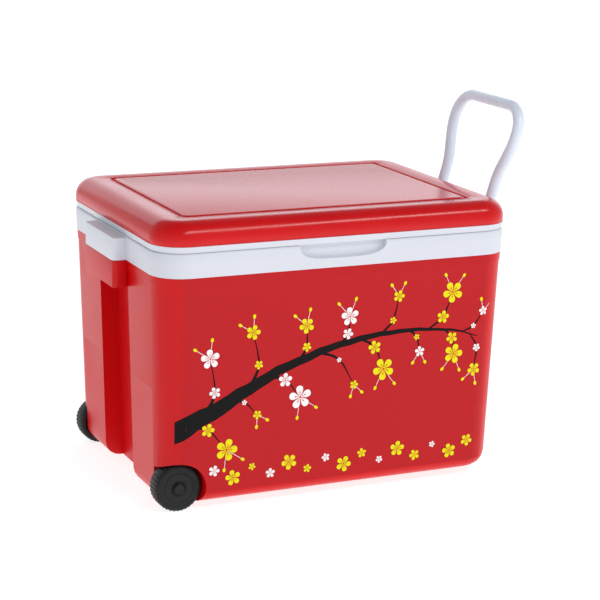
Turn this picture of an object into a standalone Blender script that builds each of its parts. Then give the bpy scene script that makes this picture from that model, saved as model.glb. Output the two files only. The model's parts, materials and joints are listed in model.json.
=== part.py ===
"""Wheeled cooler box: a foam-filled red tub with a white liner, a rear-hinged lid, a swinging tow
handle over the right end, two wheels under the left end and two feet under the right end.

Run it with: blender --background --python part.py. Units are metres and +Z is up. +X points to the
tow handle, -Y is the decorated front, and the object stands on the plane z = 0.
"""

import math

import bmesh
import bpy
from mathutils import Matrix, Vector

# ---- Overall sizes of the box. Its centre is the plan centre of the collar. ----
LENGTH = 0.580
WIDTH = 0.429
BODY_HEIGHT = 0.349
COLLAR_HEIGHT = 0.0365
STRIP_HEIGHT = 0.0102
LID_HEIGHT = 0.0348
PLAN_RADIUS = 0.049
END_TAPER = 0.029
SIDE_TAPER = 0.0243

# ---- Clearances. ----
FIT = 0.0004
LID_GAP = 0.0005
RUNNING_GAP = 0.0003

# ---- Outer shell. ----
SHELL_WALL = 0.003
COLLAR_LIP = 0.003
BAND_HEIGHT = 0.014
BAND_PROUD = 0.001
BASE_FILLET = 0.023

# ---- Wheels, stub axles and feet. ----
WHEEL_RADIUS = 0.0365
WHEEL_WIDTH = 0.030
AXLE_ABOVE_BASE = 0.026
AXLE_FROM_END = 0.039
AXLE_FROM_CENTRE = LENGTH / 2 - AXLE_FROM_END
WHEEL_FACE_INSET = 0.0215
WHEEL_FACE_FROM_CENTRE = WIDTH / 2 - WHEEL_FACE_INSET
WELL_GAP = 0.003
AXLE_RADIUS = 0.004
AXLE_SEAT = 0.031
SLEEVE_WALL = 0.0035
WHEEL_HUB_RADIUS = 0.0115
SPACER_LENGTH = 0.003
HUB_CAP_RADIUS = 0.0085
HUB_CAP_LENGTH = 0.0038
FOOT_RADIUS = 0.018
FOOT_FROM_END = 0.100
FOOT_X = LENGTH / 2 - FOOT_FROM_END
FOOT_FROM_SIDE = 0.0895
FOOT_Y = WIDTH / 2 - FOOT_FROM_SIDE
FOOT_PEG_RADIUS = 0.005
FOOT_PEG_LENGTH = 0.008

# ---- End recesses and lift grips. ----
RECESS_HALF_WIDTH = 0.066
RECESS_DEPTH = 0.0415
RECESS_FLOOR_X = LENGTH / 2 - RECESS_DEPTH
GRIP_HALF_WIDTH = 0.068
GRIP_REACH_LEFT = 0.020
GRIP_REACH_RIGHT = 0.032
GRIP_WALL = 0.005
GRIP_DROP = 0.041
GRIP_RADIUS = 0.007
POCKET_ROOF = 0.008

# ---- Collar, liner and foam. ----
COLLAR_WALL = 0.0055
COLLAR_TOP_WALL = 0.003
COLLAR_ROUND = 0.0025
COLLAR_TAPER = 0.0012
CAVITY_END_INSET = 0.058
CAVITY_SIDE_INSET = 0.0315
CAVITY_CORNER_INSET = 0.013
CAVITY_RADIUS = PLAN_RADIUS - CAVITY_CORNER_INSET
CAVITY_FLOOR_ABOVE_BASE = 0.0315
CAVITY_FILLET = 0.010
LINER_WALL = 0.003
HUMP_LENGTH = 0.033
HUMP_HEIGHT = 0.056
SCOOP_WIDTH = 0.142
SCOOP_HEIGHT = 0.022
SCOOP_DEPTH = 0.010
SCOOP_WALL = 0.003

# ---- Lid. ----
COVER_WALL = 0.0025
COVER_ROUND = 0.027
TRAY_UNDERCUT = 0.0025
TRAY_WALL = 0.003
PLUG_DEPTH = 0.012
PLUG_GAP = 0.002
PLUG_ROUND = 0.003
GROOVE_END_INSET = 0.056
GROOVE_SIDE_INSET = 0.0515
GROOVE_WIDTH = 0.010
GROOVE_DEPTH = 0.0022
GROOVE_WALL = 0.0022
GROOVE_CORNER = 0.012

# ---- Lid hinges. ----
HINGE_X = 0.165
HINGE_HALF_LENGTH = 0.030
KNUCKLE_HALF_LENGTH = 0.0115
KNUCKLE_RADIUS = 0.006
PIN_RADIUS = 0.00225
HINGE_STANDOFF = 0.0008

# ---- Tow handle. ----
PIVOT_FROM_END = 0.0185
PIVOT_BELOW_PARTING = 0.027
PIVOT_RADIUS = 0.004
PIVOT_HEAD_RADIUS = 0.0085
PIVOT_HEAD_LENGTH = 0.003
HANDLE_LEAN = math.radians(15.9)
HANDLE_LENGTH = 0.2033
HANDLE_BAR_RADIUS = 0.009
HANDLE_FOOT_SPACING = 0.081
HANDLE_TOP_SPACING = 0.102
HANDLE_FLARE_START = 0.078
HANDLE_FLARE_END = 0.158
HANDLE_CORNER = 0.040
EYE_RADIUS = 0.0115
EYE_LENGTH = 0.0184

# ---- Drain and foam-fill plug. ----
DRAIN_ABOVE_CAVITY_FLOOR = 0.0245
SPOUT_BORE_RADIUS = 0.007
SPOUT_WALL = 0.0025
SPOUT_FLANGE_RADIUS = 0.014
SPOUT_FLANGE_LENGTH = 0.002
SPOUT_REACH = 0.012
GASKET_RADIUS = 0.0155
GASKET_LENGTH = 0.0018
NUT_RADIUS = 0.0165
NUT_LENGTH = 0.006
DRAIN_CAP_RADIUS = 0.013
DRAIN_CAP_LENGTH = 0.0055
DRAIN_STEM_LENGTH = 0.018
FILL_PLUG_RADIUS = 0.0075
FILL_FLANGE_RADIUS = 0.012
FILL_FLANGE_LENGTH = 0.0015
FILL_PLUG_DEPTH = 0.006

# ---- Levels and half sizes that follow. ----
BASE_Z = WHEEL_RADIUS - AXLE_ABOVE_BASE
SHELL_TOP_Z = BASE_Z + BODY_HEIGHT
COLLAR_LOW_Z = SHELL_TOP_Z + RUNNING_GAP
PARTING_Z = SHELL_TOP_Z + COLLAR_HEIGHT
TRAY_LOW_Z = PARTING_Z + LID_GAP
TRAY_TOP_Z = PARTING_Z + STRIP_HEIGHT
COVER_LOW_Z = TRAY_TOP_Z + RUNNING_GAP
LID_TOP_Z = TRAY_TOP_Z + LID_HEIGHT
HALF_LENGTH = LENGTH / 2
HALF_WIDTH = WIDTH / 2
SHELL_HALF_X = HALF_LENGTH - COLLAR_LIP
SHELL_HALF_Y = HALF_WIDTH - COLLAR_LIP
CAVITY_HALF_X = HALF_LENGTH - CAVITY_END_INSET
CAVITY_HALF_Y = HALF_WIDTH - CAVITY_SIDE_INSET
CAVITY_FLOOR_Z = BASE_Z + CAVITY_FLOOR_ABOVE_BASE
GRIP_LOW_Z = SHELL_TOP_Z - GRIP_DROP
POCKET_TOP_Z = PARTING_Z - POCKET_ROOF
HINGE_Y = HALF_WIDTH + KNUCKLE_RADIUS + HINGE_STANDOFF
PIVOT_X = HALF_LENGTH + PIVOT_FROM_END
PIVOT_Z = PARTING_Z - PIVOT_BELOW_PARTING
END_SLOPE = math.atan(END_TAPER)
WELL_WALL_Y = WHEEL_FACE_FROM_CENTRE - WHEEL_WIDTH - SPACER_LENGTH - 2 * RUNNING_GAP

# ---- The object's origin: the centre of its bounding box, on the floor. ----
REACH_LEFT = HALF_LENGTH + GRIP_REACH_LEFT
REACH_RIGHT = PIVOT_X + HANDLE_LENGTH * math.sin(HANDLE_LEAN) + HANDLE_BAR_RADIUS
REACH_BACK = HINGE_Y + KNUCKLE_RADIUS
SHIFT_X = (REACH_LEFT - REACH_RIGHT) / 2
SHIFT_Y = (HALF_WIDTH - REACH_BACK) / 2

CORNER_STEPS = 6
FILLET_STEPS = 4
BEYOND = 0.08


# ---- Scene, materials and placing. ----
def clear_scene():
    for found in list(bpy.data.objects):
        bpy.data.objects.remove(found)


def linear(channel):
    return channel / 12.92 if channel <= 0.04045 else ((channel + 0.055) / 1.055) ** 2.4


def make_material(name, colour, roughness, metallic=0.0):
    made = bpy.data.materials.new(name)
    made.use_nodes = True
    channels = [linear(int(colour[i : i + 2], 16) / 255) for i in (0, 2, 4)]
    shader = made.node_tree.nodes["Principled BSDF"]
    shader.inputs["Base Color"].default_value = (*channels, 1.0)
    shader.inputs["Roughness"].default_value = roughness
    shader.inputs["Metallic"].default_value = metallic
    return made


def make_empty(name, location, parent=None, tilt=(0.0, 0.0, 0.0)):
    made = bpy.data.objects.new(name, None)
    made.location = location
    made.rotation_euler = tilt
    made.parent = parent
    bpy.context.collection.objects.link(made)
    return made


def add_object(name, mesh, parent, location=(0.0, 0.0, 0.0), tilt=(0.0, 0.0, 0.0)):
    made = bpy.data.objects.new(name, mesh)
    made.parent = parent
    made.location = location
    made.rotation_euler = tilt
    bpy.context.collection.objects.link(made)
    return made


def finish(made, finish_material):
    """Gives a piece its material and smooth shading with sharp edges kept."""
    made.data.materials.append(finish_material)
    made.data.shade_smooth()
    made.data.set_sharp_from_angle(angle=math.radians(35))
    return made


def boolean(target, other, operation):
    step = target.modifiers.new(other.name, "BOOLEAN")
    step.operation = operation
    step.solver = "EXACT"
    step.object = other
    other.hide_render = True
    other.display_type = "WIRE"


def cut(target, *cutters):
    for cutter in cutters:
        boolean(target, cutter, "DIFFERENCE")


def join(target, *others):
    for other in others:
        boolean(target, other, "UNION")


# ---- Shapes. ----
def mesh_from(bm, name):
    """The bmesh as a mesh whose faces point out."""
    bm.normal_update()
    bmesh.ops.recalc_face_normals(bm, faces=bm.faces)
    if bm.calc_volume(signed=True) < 0:
        bmesh.ops.reverse_faces(bm, faces=bm.faces)
    made = bpy.data.meshes.new(name)
    bm.to_mesh(made)
    bm.free()
    return made


def rounded_outline(half_x, half_y, radius, centre_x=0.0):
    """Points of a rounded rectangle, anticlockwise from its +X side."""
    points = []
    for corner, (side_x, side_y) in enumerate(((1, 1), (-1, 1), (-1, -1), (1, -1))):
        for step in range(CORNER_STEPS + 1):
            angle = math.radians(90) * (corner + step / CORNER_STEPS)
            x = side_x * (half_x - radius) + radius * math.cos(angle)
            y = side_y * (half_y - radius) + radius * math.sin(angle)
            points.append((centre_x + x, y))
    return points


def loft(name, rings, centre_x=0.0):
    """A closed mesh through rounded rectangles, each given as (half_x, half_y, radius, z)."""
    bm = bmesh.new()
    previous = None
    for half_x, half_y, radius, z in rings:
        outline = rounded_outline(half_x, half_y, radius, centre_x)
        current = [bm.verts.new((x, y, z)) for x, y in outline]
        if previous is None:
            bm.faces.new(current[::-1])
        else:
            for i, start in enumerate(current):
                j = (i + 1) % len(current)
                bm.faces.new((previous[i], previous[j], current[j], start))
        previous = current
    bm.faces.new(previous)
    bmesh.ops.triangulate(bm, faces=[face for face in bm.faces if len(face.verts) == 4])
    return mesh_from(bm, name)


def box(name, low, high):
    bm = bmesh.new()
    bmesh.ops.create_cube(bm, size=1.0)
    for vertex in bm.verts:
        for i in range(3):
            vertex.co[i] = high[i] if vertex.co[i] > 0 else low[i]
    return mesh_from(bm, name)


def turned(name, profile, segments=24):
    """A closed profile of (radius, height) points turned about local Z."""
    bm = bmesh.new()
    rings = []
    for radius, height in profile:
        if radius == 0.0:
            rings.append([bm.verts.new((0.0, 0.0, height))] * segments)
            continue
        angles = [2 * math.pi * i / segments for i in range(segments)]
        rings.append([bm.verts.new((radius * math.cos(a), radius * math.sin(a), height)) for a in angles])
    for ring, after in zip(rings, rings[1:] + rings[:1]):
        for i in range(segments):
            j = (i + 1) % segments
            corners = []
            for vertex in (ring[i], ring[j], after[j], after[i]):
                if vertex not in corners:
                    corners.append(vertex)
            if len(corners) > 2:
                bm.faces.new(corners)
    return mesh_from(bm, name)


def rod(name, radius, low, high, segments=24):
    return turned(name, ((0.0, low), (radius, low), (radius, high), (0.0, high)), segments)


def tube(name, bore, radius, low, high, segments=24):
    return turned(name, ((bore, low), (radius, low), (radius, high), (bore, high)), segments)


def swept(name, points, radius, closed=False, sides=3):
    """A round bar along the points, made by a bevelled curve and welded into one closed mesh."""
    curve = bpy.data.curves.new(name, "CURVE")
    curve.dimensions = "3D"
    curve.bevel_depth = radius
    curve.bevel_resolution = sides
    curve.use_fill_caps = True
    spline = curve.splines.new("POLY")
    spline.points.add(len(points) - 1)
    for place, point in zip(spline.points, points):
        place.co = (*point, 1.0)
    spline.use_cyclic_u = closed
    guide = bpy.data.objects.new(name, curve)
    bpy.context.collection.objects.link(guide)
    bm = bmesh.new()
    bm.from_mesh(guide.to_mesh())
    bpy.data.objects.remove(guide)
    bmesh.ops.remove_doubles(bm, verts=bm.verts, dist=0.00001)
    return mesh_from(bm, name)


# ---- Sections of the tub. ----
def shell_section(z, inward):
    """Half sizes and plan radius of the shell's wall at height z, moved inward."""
    drop = max(SHELL_TOP_Z - z, 0.0)
    half_x = SHELL_HALF_X - END_TAPER * drop - inward
    half_y = SHELL_HALF_Y - SIDE_TAPER * drop - inward
    return half_x, half_y, PLAN_RADIUS - COLLAR_LIP - inward


def filleted_foot(section, z, radius):
    """Rings of a fillet of this radius between a flat bottom at z and the wall above it."""
    rings = []
    for step in range(FILLET_STEPS):
        angle = math.radians(90) * step / FILLET_STEPS
        height = z + radius * (1 - math.cos(angle))
        inset = radius * (1 - math.sin(angle))
        half_x, half_y, corner = section(height)
        rings.append((half_x - inset, half_y - inset, max(corner - inset, radius / 4), height))
    return rings + [(*section(z + radius), z + radius)]


def shell_rings(inward, top_z):
    def section(z):
        return shell_section(z, inward)

    rings = filleted_foot(section, BASE_Z + inward, BASE_FILLET - inward)
    if inward > 0:
        rings.append((*section(SHELL_TOP_Z), SHELL_TOP_Z))
        return rings + [(*section(top_z), top_z)]
    band_low = SHELL_TOP_Z - BAND_HEIGHT
    rings.append((*section(band_low - BAND_PROUD), band_low - BAND_PROUD))
    rings.append((*shell_section(band_low, -BAND_PROUD), band_low))
    return rings + [(*shell_section(top_z, -BAND_PROUD), top_z)]


def cavity_section(z, outward):
    drop = PARTING_Z - z
    half_x = CAVITY_HALF_X - END_TAPER * drop + outward
    half_y = CAVITY_HALF_Y - SIDE_TAPER * drop + outward
    return half_x, half_y, CAVITY_RADIUS + outward


def cavity_rings(outward, top_z):
    def section(z):
        return cavity_section(z, outward)

    rings = filleted_foot(section, CAVITY_FLOOR_Z - outward, CAVITY_FILLET + outward)
    return rings + [(*section(top_z), top_z)]


def recess_floor_x(z):
    return RECESS_FLOOR_X + END_TAPER * (z - BASE_Z)


def wedge(name, side, far_x, half_y, low_z, high_z, grow=0.0):
    """A block at one end, from far_x in to the recess floor, which slopes with the end wall."""
    bm = bmesh.new()
    bmesh.ops.create_cube(bm, size=1.0)
    for vertex in bm.verts:
        outer = vertex.co.x > 0
        z = high_z + grow if vertex.co.z > 0 else low_z
        x = far_x if outer else recess_floor_x(z) - grow
        y = math.copysign(half_y + grow, vertex.co.y)
        vertex.co = Vector((side * x, y, z))
    return mesh_from(bm, name)


class Cutters:
    """Hidden helper solids, each made once for a given growth."""

    def __init__(self, root):
        self.root = root
        self.guard = 0

    def hidden(self, mesh, location=(0.0, 0.0, 0.0), tilt=(0.0, 0.0, 0.0)):
        self.guard += 1
        made = add_object(f"helper_{self.guard:02d}_{mesh.name}", mesh, self.root, location, tilt)
        made.hide_render = True
        made.display_type = "WIRE"
        return made

    def recess(self, side):
        """The open end recess below the grip, and the finger pocket inside the grip."""
        reach = GRIP_REACH_LEFT if side < 0 else GRIP_REACH_RIGHT
        pocket_x = HALF_LENGTH + reach - GRIP_WALL
        pocket_half = GRIP_HALF_WIDTH - GRIP_WALL
        low_z = BASE_Z - BEYOND
        far_x = HALF_LENGTH + BEYOND
        below = wedge("recess", side, far_x, RECESS_HALF_WIDTH, low_z, GRIP_LOW_Z + RUNNING_GAP)
        inside = wedge("pocket", side, pocket_x, pocket_half, low_z, POCKET_TOP_Z, -RUNNING_GAP)
        return self.hidden(below), self.hidden(inside)

    def recess_wall(self, side, grow):
        far_x = HALF_LENGTH + BEYOND
        low_z = BASE_Z - BEYOND
        mesh = wedge("recess_wall", side, far_x, RECESS_HALF_WIDTH, low_z, POCKET_TOP_Z, grow)
        return self.hidden(mesh)

    def well(self, side, grow=0.0):
        radius = WHEEL_RADIUS + WELL_GAP + grow
        mesh = rod("well", radius, WELL_WALL_Y - grow, HALF_WIDTH + BEYOND, 44)
        return self.hidden(mesh, *wheel_axis(side))

    def sleeve(self, side, grow=0.0):
        radius = AXLE_RADIUS + FIT + SLEEVE_WALL + grow
        mesh = rod("sleeve", radius, WELL_WALL_Y - AXLE_SEAT - SLEEVE_WALL - grow, WELL_WALL_Y - RUNNING_GAP)
        return self.hidden(mesh, *wheel_axis(side))

    def scoop(self, grow=0.0):
        """The shallow D-shaped finger scoop in the front of the collar."""
        half = SCOOP_WIDTH / 2 + grow
        height = SCOOP_HEIGHT + grow
        bm = bmesh.new()
        outline = [(half, PARTING_Z + BEYOND), (-half, PARTING_Z + BEYOND)]
        for step in range(17):
            angle = math.pi * (1 + step / 16)
            x = half * math.copysign(abs(math.cos(angle)) ** 0.5, math.cos(angle))
            z = PARTING_Z - height * abs(math.sin(angle)) ** 0.8
            outline.append((x, z))
        back_y = -HALF_WIDTH + SCOOP_DEPTH + grow
        rings = []
        for y in (back_y, -HALF_WIDTH - BEYOND):
            rings.append([bm.verts.new((x, y, z)) for x, z in outline])
        bm.faces.new(rings[0])
        bm.faces.new(rings[1][::-1])
        for i in range(len(outline)):
            j = (i + 1) % len(outline)
            bm.faces.new((rings[0][i], rings[0][j], rings[1][j], rings[1][i]))
        return self.hidden(mesh_from(bm, "scoop"))

    def hump(self, grow=0.0):
        """The raised step over the wheels, inside the cavity's left end."""
        low = (-HALF_LENGTH, -HALF_WIDTH, BASE_Z - BEYOND)
        high_x = -CAVITY_HALF_X + END_TAPER * (PARTING_Z - CAVITY_FLOOR_Z) + HUMP_LENGTH - grow
        high = (high_x, HALF_WIDTH, CAVITY_FLOOR_Z + HUMP_HEIGHT - grow)
        return self.hidden(box("hump", low, high))

    def liner_body(self, outward):
        """The cavity's volume, moved outward and with the hump taken out of it."""
        body = self.hidden(loft("cavity", cavity_rings(outward, PARTING_Z + BEYOND)))
        cut(body, self.hump(outward))
        return body

    def groove(self, grow=0.0):
        """A round bar that leaves the lid's shallow groove, following a rounded rectangle."""
        half = GROOVE_WIDTH / 2
        radius = (half * half + GROOVE_DEPTH * GROOVE_DEPTH) / (2 * GROOVE_DEPTH)
        z = LID_TOP_Z + radius - GROOVE_DEPTH
        groove_half = (HALF_LENGTH - GROOVE_END_INSET, HALF_WIDTH - GROOVE_SIDE_INSET)
        outline = rounded_outline(*groove_half, GROOVE_CORNER)
        mesh = swept("groove", [(x, y, z) for x, y in outline], radius + grow, closed=True, sides=5)
        return self.hidden(mesh)

    def drain(self, radius):
        mesh = rod("drain_bore", radius, -BEYOND / 2, BEYOND / 2)
        return self.hidden(mesh, drain_origin(), drain_tilt())

    def base_hole(self, x, y, radius, top):
        return self.hidden(rod("base_hole", radius, BASE_Z - BEYOND, top), (x, y, 0.0))


# ---- Places. ----
def wheel_axis(side):
    """Location and tilt of a wheel's axis: local Z runs outward from the box's middle."""
    tilt = (math.radians(-90 * side), 0.0, 0.0)
    return (-AXLE_FROM_CENTRE, 0.0, WHEEL_RADIUS), tilt


def drain_origin():
    z = CAVITY_FLOOR_Z + DRAIN_ABOVE_CAVITY_FLOOR
    return recess_floor_x(z), 0.0, z


def drain_tilt():
    return 0.0, math.radians(90) + END_SLOPE, 0.0


def foot_places():
    return {"front": (FOOT_X, -FOOT_Y), "rear": (FOOT_X, FOOT_Y)}


def grip_block(name, side, low_z, high_z, round_z):
    """The solid of a lift grip, which stands out from the end wall."""
    reach = GRIP_REACH_LEFT if side < 0 else GRIP_REACH_RIGHT
    outer = HALF_LENGTH + reach
    inner = HALF_LENGTH - COLLAR_LIP - COLLAR_WALL / 2
    half_x = (outer - inner) / 2
    centre = side * (outer + inner) / 2
    rings = (
        (half_x - RUNNING_GAP, GRIP_HALF_WIDTH - round_z, GRIP_RADIUS, low_z),
        (half_x, GRIP_HALF_WIDTH, GRIP_RADIUS, low_z + round_z),
        (half_x, GRIP_HALF_WIDTH, GRIP_RADIUS, high_z - round_z),
        (half_x - RUNNING_GAP, GRIP_HALF_WIDTH - round_z, GRIP_RADIUS, high_z),
    )
    return loft(name, rings, centre)


# ---- The box. ----
def make_outer_shell(tools, paint):
    shell = add_object("outer_shell", loft("outer_shell", shell_rings(0.0, SHELL_TOP_Z)), tools.root)
    space = tools.hidden(loft("shell_space", shell_rings(SHELL_WALL, PARTING_Z)))
    for side in (-1, 1):
        join(shell, tools.hidden(grip_block("grip", side, GRIP_LOW_Z, SHELL_TOP_Z, 0.0012)))
        cut(space, tools.recess_wall(side, SHELL_WALL))
        cut(space, tools.well(side, SHELL_WALL), tools.sleeve(side))
    for side in (-1, 1):
        cut(shell, *tools.recess(side))
        cut(shell, tools.well(side))
    cut(shell, space)
    for side in (-1, 1):
        bore = rod("axle_bore", AXLE_RADIUS + FIT, WELL_WALL_Y - AXLE_SEAT, HALF_WIDTH + BEYOND)
        cut(shell, tools.hidden(bore, *wheel_axis(side)))
    for x, y in foot_places().values():
        cut(shell, tools.base_hole(x, y, FOOT_PEG_RADIUS + FIT, CAVITY_FLOOR_Z - LINER_WALL))
    cut(shell, tools.base_hole(0.0, 0.0, FILL_PLUG_RADIUS + FIT, CAVITY_FLOOR_Z - LINER_WALL))
    cut(shell, tools.drain(SPOUT_BORE_RADIUS + SPOUT_WALL + FIT))
    return finish(shell, paint)


def make_body_foam(tools, paint):
    top_z = PARTING_Z - COLLAR_TOP_WALL - FIT
    foam = add_object("body_foam", loft("body_foam", shell_rings(SHELL_WALL + FIT, top_z)), tools.root)
    for side in (-1, 1):
        cut(foam, tools.recess_wall(side, SHELL_WALL + FIT))
        cut(foam, tools.well(side, SHELL_WALL + FIT), tools.sleeve(side, FIT))
    cut(foam, tools.scoop(SCOOP_WALL + FIT), tools.liner_body(LINER_WALL + FIT))
    for x, y in foot_places().values():
        top = BASE_Z + FOOT_PEG_LENGTH + FIT
        cut(foam, tools.base_hole(x, y, FOOT_PEG_RADIUS + 2 * FIT, top))
    cut(foam, tools.base_hole(0.0, 0.0, FILL_PLUG_RADIUS + 2 * FIT, BASE_Z + FILL_PLUG_DEPTH + FIT))
    cut(foam, tools.drain(SPOUT_BORE_RADIUS + SPOUT_WALL + 2 * FIT))
    return finish(foam, paint)


def make_inner_liner(tools, paint):
    liner = add_object("inner_liner", loft("inner_liner", cavity_rings(LINER_WALL, PARTING_Z)), tools.root)
    cut(liner, tools.hump(LINER_WALL), tools.liner_body(0.0))
    cut(liner, tools.drain(SPOUT_BORE_RADIUS + SPOUT_WALL + FIT))
    return finish(liner, paint)


def hinge_barrel(tools, centre_x, low, high, web_bottom, web_top):
    """A knuckle about the hinge axis, with the web that ties it to the wall in front of it."""
    barrel = rod("barrel", KNUCKLE_RADIUS, low, high)
    web_low = (centre_x + low + FIT, HALF_WIDTH - 2 * COLLAR_LIP, web_bottom)
    web_high = (centre_x + high - FIT, HINGE_Y, web_top)
    web = box("web", web_low, web_high)
    place = (centre_x, HINGE_Y, PARTING_Z)
    turned = tools.hidden(barrel, place, (0.0, math.radians(90), 0.0))
    return turned, tools.hidden(web, (0.0, 0.0, PARTING_Z))


def make_rim_collar(tools, paint):
    def section(inward):
        return HALF_LENGTH - inward, HALF_WIDTH - inward, PLAN_RADIUS - inward

    rings = [(*section(COLLAR_TAPER), COLLAR_LOW_Z), (*section(0.0), PARTING_Z - COLLAR_ROUND)]
    for step in (1, 2):
        angle = math.radians(45) * step
        inset = COLLAR_ROUND * (1 - math.cos(angle))
        rings.append((*section(inset), PARTING_Z - COLLAR_ROUND * (1 - math.sin(angle))))
    collar = add_object("rim_collar", loft("rim_collar", rings), tools.root)
    low_z = COLLAR_LOW_Z - BEYOND
    high_z = PARTING_Z - COLLAR_TOP_WALL
    inside = section(COLLAR_WALL)
    space = tools.hidden(loft("collar_space", ((*inside, low_z), (*inside, high_z))))
    for side in (-1, 1):
        grip_top = PARTING_Z - COLLAR_ROUND / 2
        join(collar, tools.hidden(grip_block("collar_grip", side, COLLAR_LOW_Z, grip_top, 0.0015)))
        cut(space, tools.recess_wall(side, SHELL_WALL))
    cut(space, tools.scoop(SCOOP_WALL))
    for centre in (-HINGE_X, HINGE_X):
        outer = (KNUCKLE_HALF_LENGTH, HINGE_HALF_LENGTH)
        for low, high in ((-outer[1], -outer[0]), outer):
            join(collar, *hinge_barrel(tools, centre, low, high, -0.9 * KNUCKLE_RADIUS, -FIT))
    mouth = cavity_section(PARTING_Z, LINER_WALL + FIT)
    opening = loft("mouth", ((*mouth, PARTING_Z - 2 * COLLAR_HEIGHT), (*mouth, PARTING_Z + BEYOND)))
    cut(collar, space, tools.hidden(opening), tools.scoop())
    for side in (-1, 1):
        cut(collar, tools.recess(side)[1])
    across = rod("across", PIVOT_RADIUS + FIT, -HALF_WIDTH / 2, HALF_WIDTH / 2)
    cut(collar, tools.hidden(across, (PIVOT_X, 0.0, PIVOT_Z), (math.radians(90), 0.0, 0.0)))
    for centre in (-HINGE_X, HINGE_X):
        cut(collar, pin_bore(tools, centre))
    return finish(collar, paint)


def pin_bore(tools, centre):
    length = HINGE_HALF_LENGTH + BEYOND / 4
    bore = rod("pin_bore", PIN_RADIUS + RUNNING_GAP, -length, length, 20)
    return tools.hidden(bore, (centre, HINGE_Y, PARTING_Z), (0.0, math.radians(90), 0.0))


# ---- The lid. Its pieces hang on the hinge axis. ----
def plug_section(inward):
    half_x, half_y, corner = cavity_section(PARTING_Z, 0.0)
    inward = inward + PLUG_GAP
    return half_x - inward, half_y - inward, corner - inward


def lid_object(name, mesh, axis):
    return add_object(name, mesh, axis, -axis.location)


def make_lid_tray(tools, axis, paint):
    edge = (HALF_LENGTH, HALF_WIDTH, PLAN_RADIUS)
    low_edge = tuple(size - TRAY_UNDERCUT for size in edge)
    round_edge = tuple(size - TRAY_UNDERCUT - RUNNING_GAP for size in edge)
    rings = [(*round_edge, TRAY_LOW_Z), (*low_edge, TRAY_LOW_Z + RUNNING_GAP), (*edge, TRAY_TOP_Z)]
    tray = lid_object("lid_tray", loft("lid_tray", rings), axis)
    plug_z = PARTING_Z - PLUG_DEPTH
    plug_rings = [
        (*plug_section(PLUG_ROUND), plug_z),
        (*plug_section(PLUG_ROUND / 3), plug_z + PLUG_ROUND / 3),
        (*plug_section(0.0), plug_z + PLUG_ROUND),
        (*plug_section(0.0), TRAY_LOW_Z + STRIP_HEIGHT / 2),
    ]
    join(tray, tools.hidden(loft("plug", plug_rings)))
    for centre in (-HINGE_X, HINGE_X):
        half = KNUCKLE_HALF_LENGTH - FIT
        join(tray, *hinge_barrel(tools, centre, -half, half, LID_GAP + FIT, 0.9 * KNUCKLE_RADIUS))
    hollow = plug_section(TRAY_WALL)
    hollow_low = PARTING_Z - PLUG_DEPTH + TRAY_WALL
    cut(tray, tools.hidden(loft("tray_space", ((*hollow, hollow_low), (*hollow, TRAY_TOP_Z + BEYOND)))))
    for centre in (-HINGE_X, HINGE_X):
        cut(tray, pin_bore(tools, centre))
    return finish(tray, paint)


def cover_rings(inward, low_z):
    def section(inset):
        return HALF_LENGTH - inset, HALF_WIDTH - inset, PLAN_RADIUS - inset

    rings = [(*section(inward), low_z)]
    for step in range(FILLET_STEPS + 2):
        angle = math.radians(90) * step / (FILLET_STEPS + 1)
        inset = inward + (COVER_ROUND - inward) * (1 - math.cos(angle))
        rings.append((*section(inset), LID_TOP_Z - COVER_ROUND + (COVER_ROUND - inward) * math.sin(angle)))
    return rings


def make_lid_cover(tools, axis, paint):
    cover = lid_object("lid_cover", loft("lid_cover", cover_rings(0.0, COVER_LOW_Z)), axis)
    space = tools.hidden(loft("cover_space", cover_rings(COVER_WALL, COVER_LOW_Z - BEYOND)))
    cut(space, tools.groove(GROOVE_WALL))
    cut(cover, space, tools.groove())
    return finish(cover, paint)


def make_lid_foam(tools, axis, paint):
    hollow = plug_section(TRAY_WALL + FIT)
    low_z = PARTING_Z - PLUG_DEPTH + TRAY_WALL + FIT
    step_z = TRAY_TOP_Z + FIT
    rings = [(*hollow, low_z), (*hollow, step_z)] + cover_rings(COVER_WALL + FIT, step_z)
    foam = lid_object("lid_foam", loft("lid_foam", rings), axis)
    cut(foam, tools.groove(GROOVE_WALL + FIT))
    return finish(foam, paint)


def make_hinge_pins(root, paint):
    for name, centre in (("left", -HINGE_X), ("right", HINGE_X)):
        mesh = rod(f"hinge_pin_{name}", PIN_RADIUS, -HINGE_HALF_LENGTH, HINGE_HALF_LENGTH)
        pin = add_object(f"hinge_pin_{name}", mesh, root, (centre, HINGE_Y, PARTING_Z))
        pin.rotation_euler = (0.0, math.radians(90), 0.0)
        finish(pin, paint)


# ---- The tow handle. Local Z runs from its pivot up the legs, and local X points away from the box. ----
def handle_spacing(reach):
    """Half the distance between the legs, at this distance from the pivot."""
    share = (reach - HANDLE_FLARE_START) / (HANDLE_FLARE_END - HANDLE_FLARE_START)
    share = min(max(share, 0.0), 1.0)
    eased = share * share * (3 - 2 * share)
    return HANDLE_FOOT_SPACING + (HANDLE_TOP_SPACING - HANDLE_FOOT_SPACING) * eased


def handle_path():
    """One leg up, round both corners and down the other leg."""
    corner_low = HANDLE_LENGTH - HANDLE_CORNER
    leg = [0.0]
    for step in range(9):
        leg.append(HANDLE_FLARE_START + (corner_low - HANDLE_FLARE_START) * step / 8)
    half = [(0.0, -handle_spacing(reach), reach) for reach in leg]
    for step in range(1, 8):
        angle = math.radians(90) * step / 7
        y = HANDLE_TOP_SPACING - HANDLE_CORNER * (1 - math.cos(angle))
        half.append((0.0, -y, corner_low + HANDLE_CORNER * math.sin(angle)))
    return half + [(x, -y, z) for x, y, z in reversed(half)]


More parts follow.
